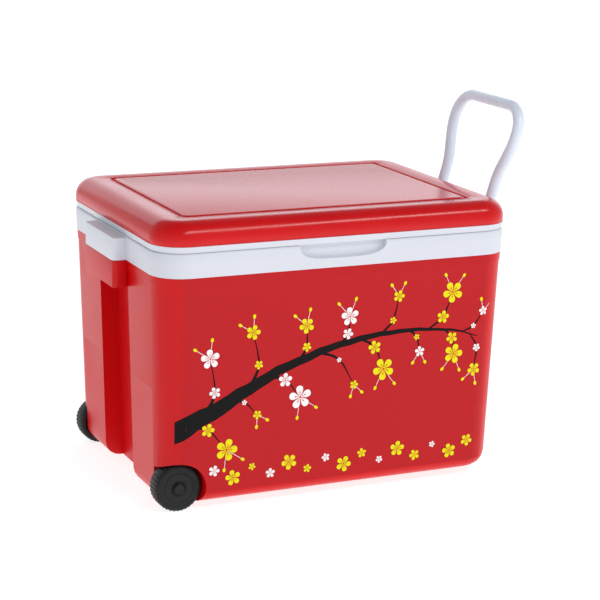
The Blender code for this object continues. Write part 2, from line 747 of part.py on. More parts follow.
def make_tow_handle(axis, paint):
    handle = add_object("tow_handle", swept("tow_handle", handle_path(), HANDLE_BAR_RADIUS), axis)
    eye = rod("eye", EYE_RADIUS, -EYE_LENGTH / 2, EYE_LENGTH / 2)
    bore = rod("eye_bore", PIVOT_RADIUS + FIT, -EYE_LENGTH, EYE_LENGTH)
    across = (math.radians(90), 0.0, 0.0)
    for side in (-1, 1):
        place = (0.0, side * HANDLE_FOOT_SPACING, 0.0)
        join(handle, add_object(f"helper_eye_{side}", eye, axis, place, across))
        cut(handle, add_object(f"helper_eye_bore_{side}", bore, axis, place, across))
    return finish(handle, paint)


def make_handle_pivots(root, pin_paint, spacer_paint):
    """Headed pins from outside each eye into the grip, and a spacer between eye and grip."""
    eye_outer = HANDLE_FOOT_SPACING + EYE_LENGTH / 2
    eye_inner = HANDLE_FOOT_SPACING - EYE_LENGTH / 2
    head = eye_outer + RUNNING_GAP
    tip = GRIP_HALF_WIDTH - GRIP_WALL - PIVOT_HEAD_LENGTH
    profile = (
        (0.0, tip),
        (PIVOT_RADIUS - FIT, tip),
        (PIVOT_RADIUS, tip + FIT),
        (PIVOT_RADIUS, head),
        (PIVOT_HEAD_RADIUS, head),
        (PIVOT_HEAD_RADIUS, head + PIVOT_HEAD_LENGTH / 2),
        (PIVOT_HEAD_RADIUS * 0.8, head + PIVOT_HEAD_LENGTH),
        (0.0, head + PIVOT_HEAD_LENGTH),
    )
    low = GRIP_HALF_WIDTH + RUNNING_GAP
    high = eye_inner - RUNNING_GAP
    for name, side in (("front", -1), ("rear", 1)):
        tilt = (math.radians(-90 * side), 0.0, 0.0)
        place = (PIVOT_X, 0.0, PIVOT_Z)
        pin = turned(f"handle_pivot_{name}", profile)
        finish(add_object(pin.name, pin, root, place, tilt), pin_paint)
        spacer = tube(f"handle_spacer_{name}", PIVOT_RADIUS + FIT, PIVOT_HEAD_RADIUS, low, high)
        finish(add_object(spacer.name, spacer, root, place, tilt), spacer_paint)


# ---- Wheels, axles and feet. ----
def wheel_profile():
    """Half section of a wheel: bore, hub, rim and tread. Height 0 is its inner face."""
    bore = AXLE_RADIUS + FIT
    rim = 0.78 * WHEEL_RADIUS
    web = 0.4 * WHEEL_WIDTH
    edge = 0.08 * WHEEL_RADIUS
    ring = 0.62 * WHEEL_RADIUS
    line = 0.02 * WHEEL_RADIUS
    return (
        (bore, 0.0),
        (WHEEL_HUB_RADIUS, 0.0),
        (WHEEL_HUB_RADIUS, web),
        (rim, web),
        (rim, 0.0),
        (WHEEL_RADIUS - edge, 0.0),
        (WHEEL_RADIUS, edge),
        (WHEEL_RADIUS, WHEEL_WIDTH - 1.5 * edge),
        (WHEEL_RADIUS - edge / 3, WHEEL_WIDTH - edge / 2),
        (WHEEL_RADIUS - edge, WHEEL_WIDTH),
        (ring + line, WHEEL_WIDTH),
        (ring, WHEEL_WIDTH - line),
        (ring - line, WHEEL_WIDTH),
        (WHEEL_HUB_RADIUS + line, WHEEL_WIDTH),
        (WHEEL_HUB_RADIUS, WHEEL_WIDTH - line),
        (bore, WHEEL_WIDTH - line),
    )


def make_wheels(root, rubber, steel, nylon):
    inner = WHEEL_FACE_FROM_CENTRE - WHEEL_WIDTH
    axle_end = WHEEL_FACE_FROM_CENTRE + HUB_CAP_LENGTH / 2
    cap_roof = HUB_CAP_LENGTH / 2 + RUNNING_GAP
    cap_low = RUNNING_GAP
    cap_profile = (
        (AXLE_RADIUS + RUNNING_GAP, cap_low),
        (HUB_CAP_RADIUS, cap_low),
        (HUB_CAP_RADIUS, cap_low + HUB_CAP_LENGTH / 2),
        (HUB_CAP_RADIUS * 0.8, HUB_CAP_LENGTH),
        (0.0, HUB_CAP_LENGTH),
        (0.0, cap_roof),
        (AXLE_RADIUS + RUNNING_GAP, cap_roof),
    )
    for name, side in (("front", -1), ("rear", 1)):
        place, tilt = wheel_axis(side)
        axis = make_empty(f"wheel_axis_{name}", place, root, tilt)
        wheel = turned(f"wheel_{name}", wheel_profile(), 32)
        finish(add_object(wheel.name, wheel, axis, (0.0, 0.0, inner)), rubber)
        cap = turned(f"hub_cap_{name}", cap_profile)
        finish(add_object(cap.name, cap, root, place, tilt), nylon)
        cap.transform(Matrix.Translation((0.0, 0.0, WHEEL_FACE_FROM_CENTRE)))
        axle = rod(f"axle_{name}", AXLE_RADIUS, WELL_WALL_Y - AXLE_SEAT + RUNNING_GAP, axle_end)
        finish(add_object(axle.name, axle, root, place, tilt), steel)
        low = WELL_WALL_Y + RUNNING_GAP
        spacer = tube(f"wheel_spacer_{name}", AXLE_RADIUS + FIT, WHEEL_HUB_RADIUS, low, low + SPACER_LENGTH)
        finish(add_object(spacer.name, spacer, root, place, tilt), nylon)


def make_feet(root, rubber):
    top = BASE_Z - RUNNING_GAP
    chamfer = 0.12 * FOOT_RADIUS
    profile = (
        (0.0, 0.0),
        (FOOT_RADIUS - chamfer, 0.0),
        (FOOT_RADIUS, chamfer),
        (FOOT_RADIUS, top),
        (FOOT_PEG_RADIUS, top),
        (FOOT_PEG_RADIUS, BASE_Z + FOOT_PEG_LENGTH),
        (0.0, BASE_Z + FOOT_PEG_LENGTH),
    )
    for name, (x, y) in foot_places().items():
        foot = turned(f"foot_{name}", profile)
        finish(add_object(foot.name, foot, root, (x, y, 0.0)), rubber)


# ---- Plugs. ----
def make_fill_plug(root, paint):
    flange = BASE_Z - RUNNING_GAP
    profile = (
        (0.0, flange - FILL_FLANGE_LENGTH),
        (FILL_FLANGE_RADIUS, flange - FILL_FLANGE_LENGTH),
        (FILL_FLANGE_RADIUS, flange),
        (FILL_PLUG_RADIUS, flange),
        (FILL_PLUG_RADIUS, BASE_Z + FILL_PLUG_DEPTH),
        (0.0, BASE_Z + FILL_PLUG_DEPTH),
    )
    plug = turned("foam_fill_plug", profile)
    finish(add_object(plug.name, plug, root), paint)


def make_drain(root, white, rubber):
    """Spout, gasket, nut and plug. Local Z runs outward along the drain, from the shell's outer face."""
    axis = make_empty("drain_axis", drain_origin(), root, drain_tilt())
    z = drain_origin()[2]
    liner_x = cavity_section(z, 0.0)[0]
    inner = -(recess_floor_x(z) - liner_x) * math.cos(END_SLOPE) - RUNNING_GAP
    outer = SPOUT_BORE_RADIUS + SPOUT_WALL
    spout_profile = (
        (SPOUT_BORE_RADIUS, inner - SPOUT_FLANGE_LENGTH),
        (SPOUT_FLANGE_RADIUS, inner - SPOUT_FLANGE_LENGTH),
        (SPOUT_FLANGE_RADIUS, inner),
        (outer, inner),
        (outer, SPOUT_REACH),
        (SPOUT_BORE_RADIUS, SPOUT_REACH),
    )
    spout = turned("drain_spout", spout_profile)
    finish(add_object(spout.name, spout, axis), white)
    ring_bore = outer + RUNNING_GAP
    gasket = tube("drain_gasket", ring_bore, GASKET_RADIUS, FIT, FIT + GASKET_LENGTH)
    finish(add_object(gasket.name, gasket, axis), rubber)
    nut_low = GASKET_LENGTH + FIT + RUNNING_GAP
    nut = tube("drain_nut", ring_bore, NUT_RADIUS, nut_low, nut_low + NUT_LENGTH)
    finish(add_object(nut.name, nut, axis), white)
    cap = SPOUT_REACH + RUNNING_GAP
    stem = SPOUT_BORE_RADIUS - RUNNING_GAP
    plug_profile = (
        (0.0, cap - DRAIN_STEM_LENGTH),
        (stem - FIT, cap - DRAIN_STEM_LENGTH),
        (stem, cap - DRAIN_STEM_LENGTH + FIT),
        (stem, cap),
        (DRAIN_CAP_RADIUS, cap),
        (DRAIN_CAP_RADIUS, cap + 0.7 * DRAIN_CAP_LENGTH),
        (0.85 * DRAIN_CAP_RADIUS, cap + DRAIN_CAP_LENGTH),
        (0.0, cap + DRAIN_CAP_LENGTH),
    )
    plug = turned("drain_plug", plug_profile)
    finish(add_object(plug.name, plug, axis), white)


def main():
    clear_scene()
    root = make_empty("cooler_origin", (SHIFT_X, SHIFT_Y, 0.0))
    tools = Cutters(root)
    red = make_material("red_polypropylene", "D62027", 0.22)
    lid_red = make_material("lid_red_polypropylene", "D21F26", 0.2)
    white = make_material("white_polypropylene", "DEE2EC", 0.35)
    liner_white = make_material("liner_white", "E6E8EA", 0.3)
    foam = make_material("foam_cream", "E8DDB8", 0.9)
    steel = make_material("zinc_plated_steel", "B8BBBE", 0.3, 1.0)
    black = make_material("black_wheel_plastic", "242626", 0.6)
    rubber = make_material("black_rubber", "1C1C1C", 0.85)
    nylon = make_material("black_nylon", "202122", 0.5)
    make_outer_shell(tools, red)
    make_body_foam(tools, foam)
    make_inner_liner(tools, liner_white)
    make_rim_collar(tools, white)
    hinge = make_empty("lid_hinge_axis", (0.0, HINGE_Y, PARTING_Z), root)
    make_lid_tray(tools, hinge, white)
    make_lid_foam(tools, hinge, foam)
    make_lid_cover(tools, hinge, lid_red)
    make_hinge_pins(root, steel)
    pivot = make_empty("tow_handle_axis", (PIVOT_X, 0.0, PIVOT_Z), root, (0.0, HANDLE_LEAN, 0.0))
    make_tow_handle(pivot, white)
    make_handle_pivots(root, white, nylon)
    make_wheels(root, black, steel, nylon)
    make_feet(root, rubber)
    make_fill_plug(root, red)
    make_drain(root, white, rubber)


main()
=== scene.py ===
"""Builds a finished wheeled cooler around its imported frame, as a set of Blender operators.

The frame gives every place: the box's centre, its half sizes and its levels are read from the
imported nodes. Lengths are metres, +Z is up, -Y is the printed front and +X points to the handle.
"""

import json
import math

import bmesh
import bpy
from mathutils import Matrix, Vector

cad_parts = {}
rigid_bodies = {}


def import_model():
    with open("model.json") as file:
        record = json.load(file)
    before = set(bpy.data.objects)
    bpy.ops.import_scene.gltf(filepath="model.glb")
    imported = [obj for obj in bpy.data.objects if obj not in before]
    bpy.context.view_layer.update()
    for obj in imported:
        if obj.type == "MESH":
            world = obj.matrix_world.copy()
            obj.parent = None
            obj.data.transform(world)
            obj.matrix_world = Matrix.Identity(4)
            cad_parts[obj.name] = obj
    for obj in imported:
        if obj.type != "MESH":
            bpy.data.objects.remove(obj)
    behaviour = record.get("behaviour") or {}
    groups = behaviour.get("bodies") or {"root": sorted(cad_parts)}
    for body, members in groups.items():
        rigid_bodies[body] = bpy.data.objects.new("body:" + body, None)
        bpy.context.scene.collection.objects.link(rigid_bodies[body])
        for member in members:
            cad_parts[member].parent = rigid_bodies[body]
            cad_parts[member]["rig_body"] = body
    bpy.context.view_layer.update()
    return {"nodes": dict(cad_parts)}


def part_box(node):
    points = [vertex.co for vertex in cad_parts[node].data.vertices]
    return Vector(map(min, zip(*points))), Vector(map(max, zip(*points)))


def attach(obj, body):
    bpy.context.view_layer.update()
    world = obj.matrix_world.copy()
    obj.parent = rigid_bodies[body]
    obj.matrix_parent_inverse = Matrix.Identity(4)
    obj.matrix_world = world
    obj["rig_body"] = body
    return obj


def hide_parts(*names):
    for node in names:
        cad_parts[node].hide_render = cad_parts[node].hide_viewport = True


bl_info = {
    "name": "Wheeled Cooler",
    "version": (1, 0, 0),
    "blender": (4, 5, 0),
    "location": "View3D > Sidebar > Cooler",
    "description": "Builds a red and white cooler box on wheels with a blossom print",
    "category": "Add Mesh",
}

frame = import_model()

MM = 0.001

# ---- Levels and half sizes of the box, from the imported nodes. ----
LID_LOW, LID_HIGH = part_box("lid_cover")
TUB_LOW, TUB_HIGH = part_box("outer_shell")
CENTRE_X = (LID_LOW.x + LID_HIGH.x) / 2
CENTRE_Y = (LID_LOW.y + LID_HIGH.y) / 2
HALF_LENGTH = (LID_HIGH.x - LID_LOW.x) / 2
HALF_WIDTH = (LID_HIGH.y - LID_LOW.y) / 2
LID_TOP = LID_HIGH.z
LID_EDGE = LID_LOW.z
BASE_Z = TUB_LOW.z
TUB_HEIGHT = TUB_HIGH.z - TUB_LOW.z

# ---- The tub's walls lean in by these shares of the drop from its top. ----
END_TAPER = 0.029
SIDE_TAPER = 0.0243
LIP = 3 * MM
PLAN_RADIUS = 49 * MM
TUB_RADIUS = PLAN_RADIUS - LIP
TUB_HALF_X = HALF_LENGTH - LIP
TUB_HALF_Y = HALF_WIDTH - LIP

# ---- The print on the front, as u along the wall and v up from the tub's base, in millimetres. ----
PRINT_LEFT = -262
PRINT_RIGHT = 256
PRINT_LOW = 18
PRINT_TOP = 348
INK_STEP = 0.04 * MM
# The tub's top band stands out by 1 mm, and the film rises to it over 12 mm.
BAND_PROUD = 1 * MM
BAND_LOW = 335 * MM
BAND_RISE = 12 * MM
FILM_LIFT = 0.10 * MM
# The film's ink thins out towards its left and right edges over these lengths.
LEFT_FADE = 18 * MM
RIGHT_FADE = 10 * MM
# The film is cut every 4 mm where it turns the tub's corners, from here outwards.
CORNER_START = 228
CORNER_CUT = 4
CORNER_CUTS = 10
BAND_CUTS = 4
# The opening that shows the front wheel, as the print's own u and v, and its radius.
WELL_U = -251 * MM
WELL_V = 26 * MM
WELL_RADIUS = 40.5 * MM
WELL_SIDES = 36

# ---- The lid's cover: its wall, and the sunk line's place, corner and matt middle. ----
COVER_WALL = 2.5 * MM
GROOVE_END_INSET = 56 * MM
GROOVE_SIDE_INSET = 51.5 * MM
GROOVE_CORNER = 12 * MM
LINE_WIDTH = 5 * MM
LINE_BLUR = 0.5 * MM
LINE_FROM_END = GROOVE_END_INSET + LINE_WIDTH / 2
LINE_FROM_SIDE = GROOVE_SIDE_INSET + LINE_WIDTH / 2
ROLL_STEPS = 14
GROOVE_STEPS = 10
PLATE_CORNER_STEPS = 12

# ---- A wheel's half section: reach from the axle in millimetres, and share of its width. ----
TREAD_SECTION = ((-2.4, 0.0), (-0.7, 0.03), (0.0, 0.09), (0.0, 0.87), (-0.7, 0.94), (-2.0, 0.975), (-4.2, 1.0))
BACK_SECTION = ((4.4, 0.0), (11.5, 0.0), (11.5, 0.4), (28.5, 0.4), (28.5, 0.0))
FACE_SECTION = (
    (30.2, 1.0), (29.8, 0.985), (25.0, 0.985), (24.6, 0.995), (23.0, 1.0), (22.4, 0.98), (21.8, 1.0),
    (12.2, 1.0), (11.7, 0.975), (11.2, 1.0), (9.6, 1.0), (9.2, 0.95), (4.4, 0.95), (4.4, 0.0),
)
WHEEL_SIDES = 72
RIB_WIDTH = 2.4 * MM
RIB_SHARE = 0.8
RIB_ROUND = 0.5 * MM
BOSSES = 10
BOSS_FROM_AXLE = 27.6 * MM
BOSS_HEIGHT = 1.4 * MM
BOSS_RADII = (1.7 * MM, 1.3 * MM)
BOSS_SIDES = 14

# ---- How far each small piece's edges are rounded, and the merging of doubled points. ----
FINE_ROUND = 0.3 * MM
SMALL_ROUND = 0.4 * MM
DRAIN_ROUND = 0.5 * MM
FOOT_ROUND = 0.6 * MM
RIB_EDGE_ROUND = 0.25 * MM
MERGE = 0.001 * MM
FLAT_ANGLE = math.radians(0.6)

# ---- The studio, in metres and watts. ----
FLOOR_HALF = 9.0
FLOOR_GLOW = 0.82
SKY_LOW, SKY_HIGH = 0.8, 0.2
STRIP_LIGHT = {"place": (0.95, -2.1, 2.6), "aim": (0.0, 0.0, 0.3), "size": (2.4, 0.35), "power": 32.0}
BACK_PANEL = {"place": (1.3, 3.0, 1.5), "aim": (0.0, 0.0, 0.4), "size": (6.0, 1.8), "power": 30.0}
WHITE_LIGHT = (1.0, 1.0, 1.0)
COOL_LIGHT = (0.88, 0.91, 1.0)
CAMERA_PLACE = (-1.2556, -2.7639, 1.0032)
CAMERA_TURNS = ((-24.41, "Z"), (76.15, "X"), (1.14, "Z"))
CAMERA_LENS = 116.95
CAMERA_SENSOR = 36.0

# The printed spray: a bough in one plain curve, as (u, v, half width), with twigs on alternate sides
# and a blossom at the end of each. A border of small blossoms runs along the foot of the print.
BOUGH = (
    (-270, 112, 17), (-190, 150, 12), (-100, 196, 8), (0, 228, 5.5), (100, 240, 3.6), (190, 234, 2),
    (236, 220, 0.8),
)
TWIGS = 15
TWIG_LENGTH = 62
BORDER = 15
BORDER_V = 44
BORDER_START = 62
BORDER_END = 30
BUD_GAP = 9
PETALS = 5
PETAL_SIDES = 18
DOT_SIDES = 12


def colour_of(code):
    """An sRGB hex code as a linear colour with full alpha."""
    channels = [int(code[i : i + 2], 16) / 255 for i in (0, 2, 4)]
    return (*(c / 12.92 if c <= 0.04045 else ((c + 0.055) / 1.055) ** 2.4 for c in channels), 1.0)


def tone(name, description, code):
    """A colour a user may change."""
    return bpy.props.FloatVectorProperty(
        name=name, description=description, subtype="COLOR", size=4, min=0.0, max=1.0,
        default=colour_of(code),
    )


class CoolerColours(bpy.types.PropertyGroup):
    tub: tone("Tub", "Red of the moulded tub", "D4080F")
    lid: tone("Lid", "Red of the lid's cover", "D60A12")
    trim: tone("Trim", "Cool white of the collar and the lid's strip", "DEE1EA")
    handle: tone("Handle", "White of the tow handle", "E6F0FF")
    liner: tone("Liner", "White of the food-grade liner", "ECEDEE")
    # Painted light: the handle's white is the trim's white made brighter and bluer. It stands for light the
    # handle does not get and cancels the pink bounce from the lid.
    film: tone("Film", "Duller red of the printed film on the front", "C20B15")
    yellow: tone("Yellow ink", "Petals and buds", "F2EC12")
    gold: tone("Gold ink", "Shaded roots of yellow petals", "E0A018")
    white: tone("White ink", "White petals", "FFFFFF")
    crimson: tone("Crimson ink", "Petal outlines and hearts", "C00A34")
    black: tone("Black ink", "Bough and twigs", "070606")
    wheel: tone("Wheels", "Hard black plastic of the wheels", "191B1C")
    rubber: tone("Rubber", "Feet and gasket", "1C1C1C")
    foam: tone("Foam", "Rigid insulation foam", "E8DDB8")


class CoolerSizes(bpy.types.PropertyGroup):
    edge_round: bpy.props.FloatProperty(
        name="Edge rounding", description="Radius that breaks the moulded edges",
        default=0.6 * MM, min=0.1 * MM, max=2 * MM, unit="LENGTH", precision=5,
    )
    tread_ribs: bpy.props.IntProperty(
        name="Tread ribs", description="Number of ribs across each wheel's tread", default=36, min=8, max=90
    )
    rib_height: bpy.props.FloatProperty(
        name="Rib height", description="How far the ribs stand out of the tread",
        default=0.8 * MM, min=0.2 * MM, max=3 * MM, unit="LENGTH", precision=5,
    )
    grain: bpy.props.FloatProperty(
        name="Mould grain", description="Size of the fine grain that the mould leaves in the plastic",
        default=0.9 * MM, min=0.2 * MM, max=4 * MM, unit="LENGTH", precision=5,
    )


# ---- Materials. ----
PLASTIC_IOR = 1.49


def add_node(tree, kind, inputs=None, **settings):
    """Adds a shader node, sets its properties, and gives its inputs values or links."""
    made = tree.nodes.new("ShaderNode" + kind)
    for name, value in settings.items():
        setattr(made, name, value)
    for socket, value in (inputs or {}).items():
        if isinstance(value, bpy.types.NodeSocket):
            tree.links.new(value, made.inputs[socket])
        else:
            made.inputs[socket].default_value = value
    return made


def shades(colour, share):
    """A little darker and a little lighter than the colour, by this share."""
    dark = (*(c * (1 - share) for c in colour[:3]), 1.0)
    light = (*(min(1.0, c * (1 + share)) for c in colour[:3]), 1.0)
    return dark, light


def new_material(name, roughness, ior, **settings):
    """A plain material, its node tree, and the place on the object that its patterns read."""
    made = bpy.data.materials.new(name)
    made.use_nodes = True
    tree = made.node_tree
    shader = tree.nodes["Principled BSDF"]
    shader.inputs["Roughness"].default_value = roughness
    shader.inputs["IOR"].default_value = ior
    for socket, value in settings.items():
        shader.inputs[socket.replace("_", " ")].default_value = value
    return made, tree, add_node(tree, "TexCoord").outputs["Object"]


def vary(tree, source, low, high):
    """A value between low and high that follows the middle of a noise."""
    limits = {"Value": source, "From Min": 0.3, "From Max": 0.7, "To Min": low, "To Max": high}
    return add_node(tree, "MapRange", limits).outputs["Result"]


def paint_mix(tree, amount, first, second):
    """Colours the shader by mixing two colours by this amount."""
    mixed = add_node(tree, "Mix", {0: amount, 6: first, 7: second}, data_type="RGBA")
    tree.links.new(mixed.outputs[2], tree.nodes["Principled BSDF"].inputs["Base Color"])


def rough(tree, value):
    tree.links.new(value, tree.nodes["Principled BSDF"].inputs["Roughness"])


def raise_bump(tree, height, depth):
    """Raises the surface by this depth where the height is 1."""
    bump = add_node(tree, "Bump", {"Height": height, "Strength": 1.0, "Distance": depth})
    tree.links.new(bump.outputs["Normal"], tree.nodes["Principled BSDF"].inputs["Normal"])


def noise(tree, place, size, detail):
    """A noise whose blots are about this many metres across."""
    inputs = {"Vector": place, "Scale": 1 / size, "Detail": detail}
    return add_node(tree, "TexNoise", inputs).outputs["Fac"]


def math_of(tree, operation, first, second=None, **settings):
    inputs = {0: first} if second is None else {0: first, 1: second}
    return add_node(tree, "Math", inputs, operation=operation, **settings).outputs["Value"]


def blend(tree, amount, first, second):
    """A value between two others."""
    return add_node(tree, "Mix", {0: amount, 2: first, 3: second}).outputs[0]


def moulded(name, colour, roughness, grain, depth, mottle=0.04, **settings):
    """Injection-moulded plastic: an even colour that clouds slightly over some 12 cm, a sheen that
    changes a little with it, and the fine grain of the mould, drawn as coarse as it can be seen."""
    made, tree, place = new_material(name, roughness, PLASTIC_IOR, **settings)
    cloud = noise(tree, place, 120 * MM, 3.0)
    paint_mix(tree, vary(tree, cloud, 0.0, 1.0), *shades(colour, mottle))
    rough(tree, vary(tree, cloud, roughness - 0.04, roughness + 0.05))
    raise_bump(tree, noise(tree, place, grain, 2.0), depth)
    return made


def frame_mask(tree, place, grow):
    """1 inside the lid's sunk line, moved outward by grow, and 0 outside it."""
    axes = add_node(tree, "SeparateXYZ", {"Vector": place})
    inside = 1.0
    for axis, centre, half in (("X", CENTRE_X, HALF_LENGTH - LINE_FROM_END),
                               ("Y", CENTRE_Y, HALF_WIDTH - LINE_FROM_SIDE)):
        far = math_of(tree, "ABSOLUTE", math_of(tree, "SUBTRACT", axes.outputs[axis], centre))
        edge = half + grow
        limits = {"Value": far, "From Min": edge - LINE_BLUR, "From Max": edge + LINE_BLUR}
        near = add_node(tree, "MapRange", {**limits, "To Min": 1.0, "To Max": 0.0}).outputs["Result"]
        inside = math_of(tree, "MULTIPLY", near, inside)
    return inside


def lid_material(colour, grain):
    """Moulded polypropylene with a polished rolled edge. Inside the sunk line the mould was spark
    eroded, so the panel there is satin and takes a pale sheen, and the line itself stays matt and red."""
    made = moulded("polypropylene, moulded gloss red", colour, 0.2, 2 * grain, 0.004 * MM)
    tree = made.node_tree
    shader = tree.nodes["Principled BSDF"]
    place = add_node(tree, "TexCoord").outputs["Object"]
    panel = frame_mask(tree, place, 0.0)
    framed = frame_mask(tree, place, LINE_WIDTH)
    line = math_of(tree, "SUBTRACT", framed, panel)
    polished = shader.inputs["Roughness"].links[0].from_socket
    satin = vary(tree, noise(tree, place, 2 * grain, 2.0), 0.22, 0.28)
    rough(tree, blend(tree, line, blend(tree, panel, polished, satin), 0.7))
    shine = blend(tree, line, blend(tree, panel, 0.32, 0.5), 0.05)
    tree.links.new(shine, shader.inputs["Specular IOR Level"])
    return made


def film_material(colours):
    """In-mould label film, printed red: glossier and duller in colour than the tub under it. Its ink
    thins out over 18 mm at the left edge and 10 mm at the right one, where the tub's red shows."""
    name = "label film, printed polypropylene"
    made, tree, place = new_material(name, 0.3, PLASTIC_IOR, Specular_IOR_Level=0.25)
    x = add_node(tree, "SeparateXYZ", {"Vector": place}).outputs["X"]
    edges = []
    for edge, width in ((PRINT_LEFT * MM, LEFT_FADE), (PRINT_RIGHT * MM, -RIGHT_FADE)):
        limits = {"Value": x, "From Min": CENTRE_X + edge, "From Max": CENTRE_X + edge + width}
        fade = add_node(tree, "MapRange", limits, interpolation_type="SMOOTHSTEP")
        edges.append(fade.outputs["Result"])
    solid = math_of(tree, "MULTIPLY", *edges)
    mixed = add_node(tree, "Mix", {0: solid, 6: colours.tub, 7: colours.film}, data_type="RGBA")
    # Halftone dots 0.5 mm apart, too fine to see one by one: they leave a slight unevenness.
    dots = add_node(tree, "TexVoronoi", {"Vector": place, "Scale": 1 / (0.5 * MM)}).outputs["Distance"]
    dark, light = shades((1.0, 1.0, 1.0), 0.04)
    weight = add_node(tree, "Mix", {0: dots, 6: light, 7: dark}, data_type="RGBA").outputs[2]
    both = {0: 1.0, 6: mixed.outputs[2], 7: weight}
    inked = add_node(tree, "Mix", both, data_type="RGBA", blend_type="MULTIPLY")
    tree.links.new(inked.outputs[2], tree.nodes["Principled BSDF"].inputs["Base Color"])
    fine = noise(tree, place, 1.5 * MM, 1.0)
    rough(tree, vary(tree, fine, 0.27, 0.33))
    raise_bump(tree, fine, 0.004 * MM)
    return made


def ink_material(name, colour, shade):
    """Screen-printed ink, even and opaque. Where the piece's shade attribute rises it deepens towards
    a second ink, as at the root of a petal, and it carries faint speckle half a millimetre across."""
    made, tree, place = new_material(name, 0.3, 1.5, Specular_IOR_Level=0.15)
    amount = add_node(tree, "Attribute", attribute_name="shade").outputs["Fac"]
    speckle = noise(tree, place, 0.5 * MM, 1.0)
    total = math_of(tree, "ADD", amount, vary(tree, speckle, -0.06, 0.06), use_clamp=True)
    paint_mix(tree, total, colour, shade)
    rough(tree, vary(tree, speckle, 0.27, 0.33))
    return made


def foam_material(colour):
    """Poured polyurethane foam: matte and cream, with cells about 1.2 mm across that pit its skin, and each
    pit painted darker as painted shade.
    """
    made, tree, place = new_material("polyurethane foam, poured", 0.85, 1.45)
    cells = add_node(tree, "TexVoronoi", {"Vector": place, "Scale": 1 / (1.2 * MM)}).outputs["Distance"]
    # Painted shade: the cream is darkest at the middle of each cell, where the bump sinks the pit.
    paint_mix(tree, cells, *shades(colour, 0.15))
    raise_bump(tree, cells, 0.3 * MM)
    return made


def zinc_material():
    """Zinc-plated steel rod: a grey metal whose cloudy plating varies in tone and sheen every 4 mm."""
    made, tree, place = new_material("steel, zinc plated", 0.35, 1.5, Metallic=1.0)
    cloud = noise(tree, place, 4 * MM, 4.0)
    paint_mix(tree, cloud, colour_of("8F9498"), colour_of("C6C8C6"))
    rough(tree, vary(tree, cloud, 0.28, 0.42))
    return made


FINISHES = {}


def finishes():
    """Every finish of the cooler by its short name, made on first use."""
    scene = bpy.context.scene
    colours, grain = scene.cooler_colours, scene.cooler_sizes.grain
    if not FINISHES:
        FINISHES.update(
            tub=moulded(
                "polypropylene, moulded red", colours.tub, 0.34, grain, 0.006 * MM, Specular_IOR_Level=0.25
            ),
            lid=lid_material(colours.lid, grain),
            trim=moulded("polypropylene, moulded white", colours.trim, 0.38, grain, 0.012 * MM, 0.015),
            liner=moulded(
                "polypropylene, moulded liner white", colours.liner, 0.3, grain, 0.01 * MM, 0.015
            ),
            # Painted light: the handle takes that brighter, bluer white in place of the trim's white.
            handle=moulded(
                "polypropylene, handle white painted brighter", colours.handle, 0.28, grain, 0.008 * MM, 0.02
            ),
            wheel=moulded(
                "polypropylene, moulded black", colours.wheel, 0.45, 0.6 * grain, 0.02 * MM, 0.15,
                Specular_IOR_Level=0.3,
            ),
            nylon=moulded("nylon, moulded black", colours.wheel, 0.4, grain, 0.01 * MM, 0.1),
            rubber=moulded("rubber, pressed", colours.rubber, 0.7, grain, 0.04 * MM, 0.15),
            film=film_material(colours),
            yellow=ink_material("screen ink, yellow", colours.yellow, colours.gold),
            white=ink_material("screen ink, white", colours.white, colour_of("F0B8B0")),
            crimson=ink_material("screen ink, crimson", colours.crimson, colour_of("8C0626")),
            scarlet=ink_material("screen ink, scarlet", colour_of("E0161E"), colours.crimson),
            black=ink_material("screen ink, black", colours.black, colour_of("260404")),
            foam=foam_material(colours.foam),
            zinc=zinc_material(),
        )
    return FINISHES


# ---- Making pieces. ----
def piece_from(bm, name, finish, body, angle=35):
    """A piece from a bmesh: shaded smooth with its sharp edges kept, and riding on a body."""
    mesh = bpy.data.meshes.new(name)
    bm.to_mesh(mesh)
    bm.free()
    mesh.shade_smooth()
    mesh.set_sharp_from_angle(angle=math.radians(angle))
    mesh.materials.append(finishes()[finish])
    made = bpy.data.objects.new(name, mesh)
    bpy.context.scene.collection.objects.link(made)
    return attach(made, body)


def soften(piece, width, segments=2, angle=32):
    """Rounds the piece's sharp edges as a mould does."""
    step = piece.modifiers.new("rounded edges", "BEVEL")
    step.width = width
    step.segments = segments
    step.limit_method = "ANGLE"
    step.angle_limit = math.radians(angle)
    step.harden_normals = True
    step.miter_outer = "MITER_ARC"


def refined(node, name, finish, width, angle=32):
    """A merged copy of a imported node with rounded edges, standing for it. Seams halve it along each
    axis, so that no flat face runs all the way round an opening."""
    source = frame["nodes"][node]
    bm = bmesh.new()
    bm.from_mesh(source.data)
    bmesh.ops.remove_doubles(bm, verts=bm.verts, dist=MERGE)
    ends = [[pick(vertex.co[axis] for vertex in bm.verts) for pick in (min, max)] for axis in range(3)]
    middle = Vector([sum(pair) / 2 for pair in ends])
    for axis in range(3):
        normal = Vector([float(axis == other) for other in range(3)])
        for item in slice_all(bm, middle, normal)["geom_cut"]:
            if isinstance(item, bmesh.types.BMEdge):
                item.seam = True
    bmesh.ops.dissolve_limit(
        bm, angle_limit=FLAT_ANGLE, verts=bm.verts, edges=bm.edges, delimit={"SEAM"}
    )
    made = piece_from(bm, name, finish, source["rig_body"], angle)
    for layer in ("custom_normal", "sharp_face"):
        if layer in made.data.attributes:
            made.data.attributes.remove(made.data.attributes[layer])
    made.data.materials.clear()
    made.data.materials.append(finishes()[finish])
    if width:
        soften(made, width, angle=angle)
    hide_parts(node)


def keep_node(node, finish):
    """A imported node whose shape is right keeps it, with a better material."""
    shown = frame["nodes"][node]
    shown.data.materials.clear()
    shown.data.materials.append(finishes()[finish])


